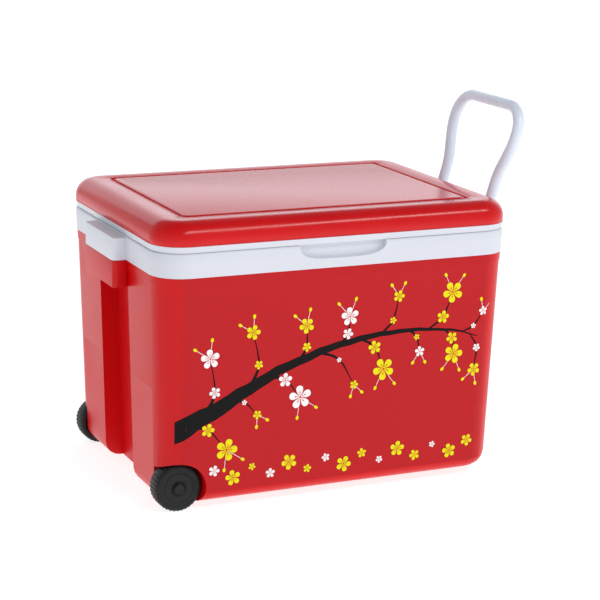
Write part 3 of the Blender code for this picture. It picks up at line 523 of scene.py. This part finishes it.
def rounded_plate(bm, half_x, half_y, radius, z):
    """A flat face with rounded corners, centred on the box."""
    made = bmesh.ops.create_grid(bm, x_segments=1, y_segments=1, size=1.0)["verts"]
    bmesh.ops.scale(bm, vec=(half_x, half_y, 1.0), verts=made)
    bmesh.ops.translate(bm, vec=(CENTRE_X, CENTRE_Y, z), verts=made)
    before = set(bm.faces) - {face for vertex in made for face in vertex.link_faces}
    bmesh.ops.bevel(
        bm, geom=made, affect="VERTICES", offset=radius, segments=PLATE_CORNER_STEPS, profile=0.5,
        material=-1,
    )
    return next(face for face in bm.faces if face not in before)


def lathe(bm, profile, axis_point, axis, steps):
    """Turns a closed profile of points about an axis, as the first shape of a piece."""
    corners = [bm.verts.new(point) for point in profile]
    edges = [bm.edges.new(pair) for pair in zip(corners, corners[1:])]
    bmesh.ops.spin(
        bm, geom=corners + edges, cent=axis_point, axis=axis, angle=2 * math.pi, steps=steps,
        use_merge=True,
    )
    bmesh.ops.remove_doubles(bm, verts=bm.verts, dist=2 * MERGE)
    bmesh.ops.recalc_face_normals(bm, faces=bm.faces)


def smooth_path(points, steps=6):
    """Points joined by a Catmull-Rom curve, with this many steps between two of them."""
    given = [Vector(point) for point in points]
    ends = [2 * given[0] - given[1]] + given + [2 * given[-1] - given[-2]]
    path = []
    for a, b, c, d in zip(ends, ends[1:], ends[2:], ends[3:]):
        for step in range(steps):
            t = step / steps
            path.append((2 * b + (c - a) * t + (2 * a - 5 * b + 4 * c - d) * t * t
                         + (3 * b - a - 3 * c + d) * t ** 3) / 2)
    return path + [given[-1]]


# ---- Flat ink shapes, drawn in the print's own u, v and lift, then laid on the tub. ----
def front_point(u, v, lift):
    """A point on the tub's front wall, which leans in and turns round its corners."""
    drop = TUB_HEIGHT - v
    rise = min(max((v - BAND_LOW) / BAND_RISE + 1, 0.0), 1.0)
    lift += BAND_PROUD * rise * rise * (3 - 2 * rise)
    flat = TUB_HALF_X - END_TAPER * drop - TUB_RADIUS
    turn = max(abs(u) - flat, 0.0) / TUB_RADIUS
    x = min(abs(u), flat) + (TUB_RADIUS + lift) * math.sin(turn)
    y = TUB_HALF_Y - SIDE_TAPER * drop - TUB_RADIUS + (TUB_RADIUS + lift) * math.cos(turn)
    return Vector((CENTRE_X + math.copysign(x, u), CENTRE_Y - y, BASE_Z + v))


def slice_all(bm, place, normal, **settings):
    """Cuts every face along a plane."""
    geometry = bm.verts[:] + bm.edges[:] + bm.faces[:]
    return bmesh.ops.bisect_plane(
        bm, geom=geometry, dist=MERGE, plane_co=place, plane_no=normal, **settings
    )


def lay_print(bm, name, finish):
    """Trims the flat shapes to the print's area, bends them round the tub and makes them a piece."""
    for point, normal in (((PRINT_LEFT, 0, 0), (-1, 0, 0)), ((PRINT_RIGHT, 0, 0), (1, 0, 0)),
                          ((0, PRINT_LOW, 0), (0, -1, 0)), ((0, PRINT_TOP, 0), (0, 1, 0))):
        slice_all(bm, Vector(point) * MM, normal, clear_outer=True)
    for side in (-1, 1):
        for step in range(CORNER_CUTS):
            slice_all(bm, (side * (CORNER_START + CORNER_CUT * step) * MM, 0, 0), (1, 0, 0))
    for step in range(BAND_CUTS + 1):
        slice_all(bm, (0, BAND_LOW - BAND_RISE * step / BAND_CUTS, 0), (0, 1, 0))
    for vertex in bm.verts:
        vertex.co = front_point(*vertex.co)
    bmesh.ops.solidify(bm, geom=bm.faces[:], thickness=0.75 * INK_STEP)
    bmesh.ops.recalc_face_normals(bm, faces=bm.faces)
    return piece_from(bm, name, finish, "box")


def open_well(bm):
    """Leaves the wheel's well open in the film, by slicing along a ring of planes round it."""
    well = Vector((WELL_U, WELL_V, 0))

    def faces_within(reach):
        return [face for face in bm.faces if (face.calc_center_median() - well).to_2d().length < reach]

    for step in range(WELL_SIDES):
        angle = 2 * math.pi * step / WELL_SIDES
        outward = Vector((math.cos(angle), math.sin(angle), 0))
        near = faces_within(2 * WELL_RADIUS)
        geometry = {item for face in near for item in (face, *face.edges, *face.verts)}
        edge = well + outward * WELL_RADIUS
        bmesh.ops.bisect_plane(bm, geom=list(geometry), plane_co=edge, plane_no=outward)
    bmesh.ops.delete(bm, geom=faces_within(WELL_RADIUS), context="FACES")


def inked(u, v, layer):
    """A point of the flat print, given in millimetres and in layers of ink."""
    return Vector((u * MM, v * MM, FILM_LIFT + layer * INK_STEP))


def limb(bm, points, layer, grow=0.0, ragged=0.0):
    """A flat strip along (u, v, half width) points, tapering with them."""
    path = smooth_path(points)
    last = len(path) - 1
    for vertex in bmesh.ops.create_grid(bm, x_segments=last, y_segments=1, size=1.0)["verts"]:
        i = round((vertex.co.x + 1) / 2 * last)
        side = math.copysign(1.0, vertex.co.y)
        along = (path[min(i + 1, last)] - path[max(i - 1, 0)]).to_2d().normalized()
        knots = 1 + ragged * math.sin(2.3 * i + 1.7 * side) * math.sin(0.9 * i)
        reach = side * (path[i].z * knots + grow)
        place = path[i].to_2d() + Vector((-along.y, along.x)) * reach
        if i in (0, last):
            place += along * math.copysign(grow, i - 0.5)
        vertex.co = inked(*place, layer)


def petal(bm, shade, centre, angle, inner, outer, half, layer):
    """One drop-shaped petal that widens away from the blossom's heart, and its shade at its root."""
    outward = Vector((math.cos(angle), math.sin(angle)))
    across = Vector((-outward.y, outward.x))
    for vertex in bmesh.ops.create_circle(bm, cap_ends=True, segments=PETAL_SIDES, radius=1.0)["verts"]:
        along = (vertex.co.x + 1) / 2
        width = half * vertex.co.y * (0.3 + 0.7 * along ** 0.8)
        place = centre + outward * (inner + (outer - inner) * along) + across * width
        vertex[shade] = max(0.0, 0.55 - 1.3 * along)
        vertex.co = inked(*place, layer)


def blossom(inks, ink, place, turn):
    """Five petals with a thin outline, a heart, and stamens on the larger blossoms."""
    u, v, radius = place
    centre = Vector((u, v))
    layer = 4 + 4 * (round(u + v) % 3)
    for k in range(PETALS):
        angle = math.radians(turn + 360 * k / PETALS)
        half = 0.4 * radius
        petal(*inks["crimson"], centre, angle, 0.06 * radius, radius, half + 0.04 * radius, layer)
        petal(*inks[ink], centre, angle, 0.1 * radius, 0.96 * radius, half, layer + 1)
        if radius > 9:
            outward = Vector((math.cos(angle), math.sin(angle)))
            near, far = centre + 0.1 * radius * outward, centre + 0.42 * radius * outward
            stem = ((*near, 0.018 * radius), (*far, 0.012 * radius))
            limb(inks["scarlet"][0], stem, layer + 2)
            disc(inks["scarlet"][0], far, 0.055 * radius, layer + 2)
    disc(inks[ink][0], centre, 0.17 * radius, layer + 2)
    disc(inks["scarlet"][0], centre, 0.1 * radius, layer + 3)


def disc(bm, centre, radius, layer, stretch=1.0, angle=0.0):
    """A dot of ink, or an oval one."""
    outward = Vector((math.cos(angle), math.sin(angle)))
    across = Vector((-outward.y, outward.x))
    for vertex in bmesh.ops.create_circle(bm, cap_ends=True, segments=DOT_SIDES, radius=radius)["verts"]:
        place = centre + outward * vertex.co.x * stretch + across * vertex.co.y
        vertex.co = inked(*place, layer)


def twig(inks, path, i):
    """One twig, curving up from the bough, with a blossom at its end, one at its bend and two buds."""
    share = (i + 1) / (TWIGS + 1)
    root = path[round(share * (len(path) - 1))]
    along = (path[round(share * (len(path) - 1)) + 1] - root).to_2d().normalized()
    across = Vector((-along.y, along.x)) * (1 if i % 2 else -1)
    reach = TWIG_LENGTH * (1.2 - 0.5 * share) * (1 + 0.3 * math.sin(2.4 * i))
    bend = root.to_2d() + (0.6 * along + 0.5 * across) * reach * 0.6
    tip = bend + (0.3 * along + across) * reach * 0.6
    stroke = ((root.x, root.y, 0.3 * root.z + 0.6), (bend.x, bend.y, 1.8), (tip.x, tip.y, 0.7))
    limb(inks["edge"][0], stroke, 1 + i / 20, 0.7, 0.2)
    limb(inks["black"][0], stroke, 2.1 + i / 20, 0.0, 0.2)
    size = 13 + 6 * math.sin(1.7 * i + 1)
    ink, other = ("white", "yellow") if i % 3 == 1 else ("yellow", "white")
    blossom(inks, ink, (tip.x, tip.y, size), 24 * i)
    blossom(inks, other if i % 4 == 2 else ink, (bend.x, bend.y, 0.6 * size), 40 * i)
    for side in (-1, 1):
        end = tip + (across + 0.6 * side * along) * (size + BUD_GAP)
        limb(inks["stem"][0], ((*tip, 0.5), (*end, 0.3)), 3)
        disc(inks["yellow"][0], end, 2.4, 4, 1.4, math.atan2((end - tip).y, (end - tip).x))


class COOLER_OT_print(bpy.types.Operator):
    """Lays the printed film on the tub's front, with a plain spray of blossoms"""

    bl_idname = "cooler.add_print"
    bl_label = "Front Print"

    def execute(self, context):
        film = bmesh.new()
        for vertex in bmesh.ops.create_grid(film, x_segments=60, y_segments=4, size=1.0)["verts"]:
            u = PRINT_LEFT + (PRINT_RIGHT - PRINT_LEFT) * (vertex.co.x + 1) / 2
            v = PRINT_LOW + (PRINT_TOP - PRINT_LOW) * (vertex.co.y + 1) / 2
            vertex.co = inked(u, v, 0)
        open_well(film)
        lay_print(film, "print_film", "film")

        inks = {}
        for ink in ("yellow", "white", "crimson", "scarlet", "black", "edge", "stem"):
            bm = bmesh.new()
            inks[ink] = (bm, bm.verts.layers.float.new("shade"))
        limb(inks["edge"][0], BOUGH, 0.5, 0.8, 0.2)
        limb(inks["black"][0], BOUGH, 1.9, 0.0, 0.2)
        path = smooth_path(BOUGH)
        for i in range(TWIGS):
            twig(inks, path, i)
        for i in range(BORDER):
            share = i / (BORDER - 1)
            u = (PRINT_LEFT + BORDER_START) * (1 - share) + (PRINT_RIGHT - BORDER_END) * share
            ink = "white" if i % 3 == 0 else "yellow"
            blossom(inks, ink, (u, BORDER_V + 7 * (-1) ** i, 9 + 4 * math.sin(2 * i)), 30 * i)
        names = {
            "edge": ("print_bough_edges", "scarlet"), "black": ("print_boughs", "black"),
            "stem": ("print_bud_stems", "white"),
            "crimson": ("print_petal_outlines", "crimson"), "yellow": ("print_yellow", "yellow"),
            "white": ("print_white", "white"), "scarlet": ("print_hearts", "scarlet"),
        }
        for ink, (name, finish) in names.items():
            lay_print(inks[ink][0], name, finish)
        return {"FINISHED"}


class COOLER_OT_tub(bpy.types.Operator):
    """Makes the red tub with its end recesses, grips and wheel wells"""

    bl_idname = "cooler.add_tub"
    bl_label = "Tub"

    def execute(self, context):
        refined("outer_shell", "tub", "tub", context.scene.cooler_sizes.edge_round)
        keep_node("body_foam", "foam")
        return {"FINISHED"}


class COOLER_OT_collar(bpy.types.Operator):
    """Makes the white collar with its grips, finger scoop and hinge knuckles, and the liner"""

    bl_idname = "cooler.add_collar"
    bl_label = "Collar and Liner"

    def execute(self, context):
        width = context.scene.cooler_sizes.edge_round
        refined("rim_collar", "collar", "trim", width)
        keep_node("inner_liner", "liner")
        return {"FINISHED"}


class COOLER_OT_lid(bpy.types.Operator):
    """Makes the lid: a red cover with a rolled edge and a sunk line, on a white tray"""

    bl_idname = "cooler.add_lid"
    bl_label = "Lid"

    roll: bpy.props.FloatProperty(
        name="Edge roll", description="Radius of the cover's rolled edge",
        default=27 * MM, min=5 * MM, max=32 * MM, unit="LENGTH", precision=4,
    )
    groove_width: bpy.props.FloatProperty(
        name="Line width", description="Width of the sunk line round the top",
        default=10 * MM, min=2 * MM, max=20 * MM, unit="LENGTH", precision=4,
    )
    groove_depth: bpy.props.FloatProperty(
        name="Line depth", description="Depth of the sunk line round the top",
        default=2.2 * MM, min=0.5 * MM, max=4 * MM, unit="LENGTH", precision=4,
    )

    def execute(self, context):
        bm = bmesh.new()
        top = rounded_plate(bm, HALF_LENGTH, HALF_WIDTH, PLAN_RADIUS, LID_EDGE)
        straight = LID_TOP - self.roll - LID_EDGE
        grown = bmesh.ops.extrude_face_region(bm, geom=[top])["geom"]
        bmesh.ops.translate(
            bm, vec=(0, 0, straight), verts=[item for item in grown if isinstance(item, bmesh.types.BMVert)]
        )
        crown = next(item for item in grown if isinstance(item, bmesh.types.BMFace))
        bmesh.ops.delete(bm, geom=[top], context="FACES_ONLY")
        for step in range(ROLL_STEPS):
            here, there = (math.radians(90) * k / ROLL_STEPS for k in (step, step + 1))
            inward = self.roll * (math.cos(here) - math.cos(there))
            upward = self.roll * (math.sin(there) - math.sin(here))
            bmesh.ops.inset_region(bm, faces=[crown], thickness=inward, use_even_offset=True)
            bmesh.ops.translate(bm, vec=(0, 0, upward), verts=crown.verts)
        rim = list(crown.edges)
        bmesh.ops.delete(bm, geom=[crown], context="FACES_ONLY")
        half = self.groove_width / 2
        panel = rounded_plate(
            bm, HALF_LENGTH - GROOVE_END_INSET + half, HALF_WIDTH - GROOVE_SIDE_INSET + half,
            GROOVE_CORNER + half, LID_TOP,
        )
        inner = list(panel.edges)
        strip = self.groove_width / GROOVE_STEPS
        for step in range(GROOVE_STEPS):
            here, there = (2 * math.pi * k / GROOVE_STEPS for k in (step, step + 1))
            sink = self.groove_depth / 2 * (math.cos(there) - math.cos(here))
            bmesh.ops.inset_region(
                bm, faces=[panel], thickness=strip, use_even_offset=True, use_boundary=True
            )
            bmesh.ops.translate(bm, vec=(0, 0, sink), verts=panel.verts)
        bmesh.ops.bridge_loops(bm, edges=rim + inner)
        bmesh.ops.recalc_face_normals(bm, faces=bm.faces)
        if panel.normal.z < 0:
            bmesh.ops.reverse_faces(bm, faces=bm.faces)
        cover = piece_from(bm, "cover", "lid", "lid", 60)
        wall = cover.modifiers.new("wall", "SOLIDIFY")
        wall.thickness = COVER_WALL
        wall.offset = -1.0
        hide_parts("lid_cover")
        refined("lid_tray", "lid_strip", "trim", 0.5 * context.scene.cooler_sizes.edge_round)
        keep_node("lid_foam", "foam")
        return {"FINISHED"}


class COOLER_OT_handle(bpy.types.Operator):
    """Makes the swinging tow handle, its pivot pins and their spacers"""

    bl_idname = "cooler.add_handle"
    bl_label = "Tow Handle"

    def execute(self, context):
        refined("tow_handle", "handle", "handle", 0.0, angle=40)
        for end in ("front", "rear"):
            refined(f"handle_pivot_{end}", f"handle_pin_{end}", "trim", SMALL_ROUND)
            keep_node(f"handle_spacer_{end}", "nylon")
        return {"FINISHED"}


class COOLER_OT_wheels(bpy.types.Operator):
    """Makes the two ribbed wheels with their hubs, caps and axles"""

    bl_idname = "cooler.add_wheels"
    bl_label = "Wheels"

    def execute(self, context):
        sizes = context.scene.cooler_sizes
        for end, side in (("front", -1), ("rear", 1)):
            low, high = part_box(f"wheel_{end}")
            centre = (low + high) / 2
            radius = (high.z - low.z) / 2
            inner, outer = (high.y, low.y) if side < 0 else (low.y, high.y)
            self.wheel(end, side, centre, radius, inner, outer, sizes)
            refined(f"hub_cap_{end}", f"wheel_cap_{end}", "wheel", SMALL_ROUND)
            keep_node(f"axle_{end}", "zinc")
            keep_node(f"wheel_spacer_{end}", "nylon")
        return {"FINISHED"}

    def wheel(self, end, side, centre, radius, inner, outer, sizes):
        """One wheel: a turned rim and disc, then ribs and bosses set round it."""
        tread = radius - sizes.rib_height
        width = abs(outer - inner)
        rim = [(tread / MM + reach, share) for reach, share in TREAD_SECTION]
        bm = bmesh.new()
        profile = [
            Vector((centre.x, inner + (outer - inner) * share, centre.z + reach * MM))
            for reach, share in (*BACK_SECTION, *rim, *FACE_SECTION)
        ]
        lathe(bm, profile, centre, (0, 1, 0), WHEEL_SIDES)
        rib = bmesh.ops.create_cube(bm, size=1.0)["verts"]
        bmesh.ops.scale(bm, vec=(RIB_WIDTH, RIB_SHARE * width, 2 * sizes.rib_height), verts=rib)
        edges = list({edge for vertex in rib for edge in vertex.link_edges})
        made = bmesh.ops.bevel(
            bm, geom=edges, affect="EDGES", offset=RIB_ROUND, segments=2, profile=0.5, material=-1
        )
        block = list({vertex for face in made["faces"] for vertex in face.verts})
        place = (centre.x, (inner + outer) / 2, centre.z + radius - sizes.rib_height)
        bmesh.ops.translate(bm, vec=place, verts=block)
        faces = list({face for vertex in block for face in vertex.link_faces})
        self.set_round(bm, block, faces, centre, sizes.tread_ribs)
        boss = bmesh.ops.create_cone(
            bm, cap_ends=True, segments=BOSS_SIDES, radius1=BOSS_RADII[0], radius2=BOSS_RADII[1],
            depth=BOSS_HEIGHT,
        )["verts"]
        facing = Matrix.Rotation(math.radians(-90 * side), 3, "X")
        bmesh.ops.rotate(bm, cent=(0, 0, 0), matrix=facing, verts=boss)
        place = (centre.x, outer - side * BOSS_HEIGHT / 2, centre.z + BOSS_FROM_AXLE)
        bmesh.ops.translate(bm, vec=place, verts=boss)
        faces = list({face for vertex in boss for face in vertex.link_faces})
        self.set_round(bm, boss, faces, centre, BOSSES)
        made = piece_from(bm, f"wheel_{end}_ribbed", "wheel", f"wheel_{end}")
        soften(made, RIB_EDGE_ROUND, 1)
        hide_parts(f"wheel_{end}")

    def set_round(self, bm, verts, faces, centre, count):
        """Repeats a block evenly round the wheel's axle."""
        edges = list({edge for face in faces for edge in face.edges})
        bmesh.ops.spin(
            bm, geom=verts + edges + faces, cent=centre, axis=(0, 1, 0), use_duplicate=True,
            angle=2 * math.pi * (count - 1) / count, steps=count - 1,
        )


class COOLER_OT_fittings(bpy.types.Operator):
    """Finishes the feet, the drain, the hinge pins and the foam-fill plug"""

    bl_idname = "cooler.add_fittings"
    bl_label = "Feet, Drain and Pins"

    def execute(self, context):
        for end in ("front", "rear"):
            refined(f"foot_{end}", f"rubber_foot_{end}", "rubber", FOOT_ROUND)
        for end in ("left", "right"):
            refined(f"hinge_pin_{end}", f"hinge_rod_{end}", "zinc", FINE_ROUND)
        refined("foam_fill_plug", "fill_plug", "tub", FINE_ROUND)
        refined("drain_spout", "drain_pipe", "trim", FINE_ROUND)
        refined("drain_nut", "drain_ring_nut", "trim", DRAIN_ROUND)
        refined("drain_plug", "drain_cap", "trim", DRAIN_ROUND)
        keep_node("drain_gasket", "rubber")
        return {"FINISHED"}


class COOLER_OT_stage(bpy.types.Operator):
    """Sets the pale floor, the soft studio light and the camera"""

    bl_idname = "cooler.add_stage"
    bl_label = "Stage"

    def execute(self, context):
        scene = context.scene
        scene.view_settings.view_transform = "Standard"
        bm = bmesh.new()
        bmesh.ops.create_grid(bm, x_segments=1, y_segments=1, size=FLOOR_HALF)
        mesh = bpy.data.meshes.new("floor")
        bm.to_mesh(mesh)
        bm.free()
        floor = bpy.data.objects.new("floor", mesh)
        scene.collection.objects.link(floor)
        paper, tree, place = new_material("studio paper, matte white", 0.9, 1.45)
        paint_mix(tree, noise(tree, place, 1 / 6, 2.0), *shades(colour_of("C4C4C6"), 0.01))
        shader = tree.nodes["Principled BSDF"]
        shader.inputs["Emission Color"].default_value = (1.0, 1.0, 1.0, 1.0)
        shader.inputs["Emission Strength"].default_value = FLOOR_GLOW
        mesh.materials.append(paper)

        world = bpy.data.worlds.new("studio")
        world.use_nodes = True
        scene.world = world
        tree = world.node_tree
        ray = add_node(tree, "TexCoord").outputs["Generated"]
        height = add_node(tree, "SeparateXYZ", {"Vector": ray}).outputs["Z"]
        limits = {"Value": height, "To Min": SKY_LOW, "To Max": SKY_HIGH}
        glow = add_node(tree, "MapRange", limits).outputs["Result"]
        background = tree.nodes["Background"]
        background.inputs["Color"].default_value = (0.97, 0.98, 1.0, 1.0)
        tree.links.new(glow, background.inputs["Strength"])

        self.softbox(scene, "strip light", WHITE_LIGHT, **STRIP_LIGHT)
        self.softbox(scene, "back panel", COOL_LIGHT, **BACK_PANEL)

        camera = bpy.data.objects.new("camera", bpy.data.cameras.new("camera"))
        scene.collection.objects.link(camera)
        turn = Matrix.Translation(CAMERA_PLACE)
        for degrees, axis in CAMERA_TURNS:
            turn = turn @ Matrix.Rotation(math.radians(degrees), 4, axis)
        camera.matrix_world = turn
        camera.data.sensor_width = CAMERA_SENSOR
        camera.data.lens = CAMERA_LENS
        scene.camera = camera
        return {"FINISHED"}

    def softbox(self, scene, name, colour, place, aim, size, power):
        """A rectangular area light at one place, turned to face another."""
        light = bpy.data.lights.new(name, "AREA")
        light.shape = "RECTANGLE"
        light.size, light.size_y = size
        light.energy = power
        light.color = colour
        lamp = bpy.data.objects.new(name, light)
        lamp.location = place
        toward = Vector(aim) - Vector(place)
        lamp.rotation_euler = toward.to_track_quat("-Z", "Y").to_euler()
        scene.collection.objects.link(lamp)


OPERATORS = (
    COOLER_OT_stage, COOLER_OT_tub, COOLER_OT_collar, COOLER_OT_lid, COOLER_OT_handle, COOLER_OT_wheels,
    COOLER_OT_fittings, COOLER_OT_print,
)


class COOLER_PT_panel(bpy.types.Panel):
    bl_label = "Wheeled Cooler"
    bl_idname = "COOLER_PT_panel"
    bl_space_type = "VIEW_3D"
    bl_region_type = "UI"
    bl_category = "Cooler"

    def draw(self, context):
        for group in (context.scene.cooler_colours, context.scene.cooler_sizes):
            for name in group.__annotations__:
                self.layout.prop(group, name)
        for operator in OPERATORS:
            self.layout.operator(operator.bl_idname)


CLASSES = (CoolerColours, CoolerSizes, *OPERATORS, COOLER_PT_panel)


def register():
    for found in CLASSES:
        bpy.utils.register_class(found)
    bpy.types.Scene.cooler_colours = bpy.props.PointerProperty(type=CoolerColours)
    bpy.types.Scene.cooler_sizes = bpy.props.PointerProperty(type=CoolerSizes)


def unregister():
    del bpy.types.Scene.cooler_colours
    del bpy.types.Scene.cooler_sizes
    for found in reversed(CLASSES):
        bpy.utils.unregister_class(found)


def main():
    register()
    for operator in OPERATORS:
        group, name = operator.bl_idname.split(".")
        getattr(getattr(bpy.ops, group), name)()


if __name__ == "__main__":
    main()
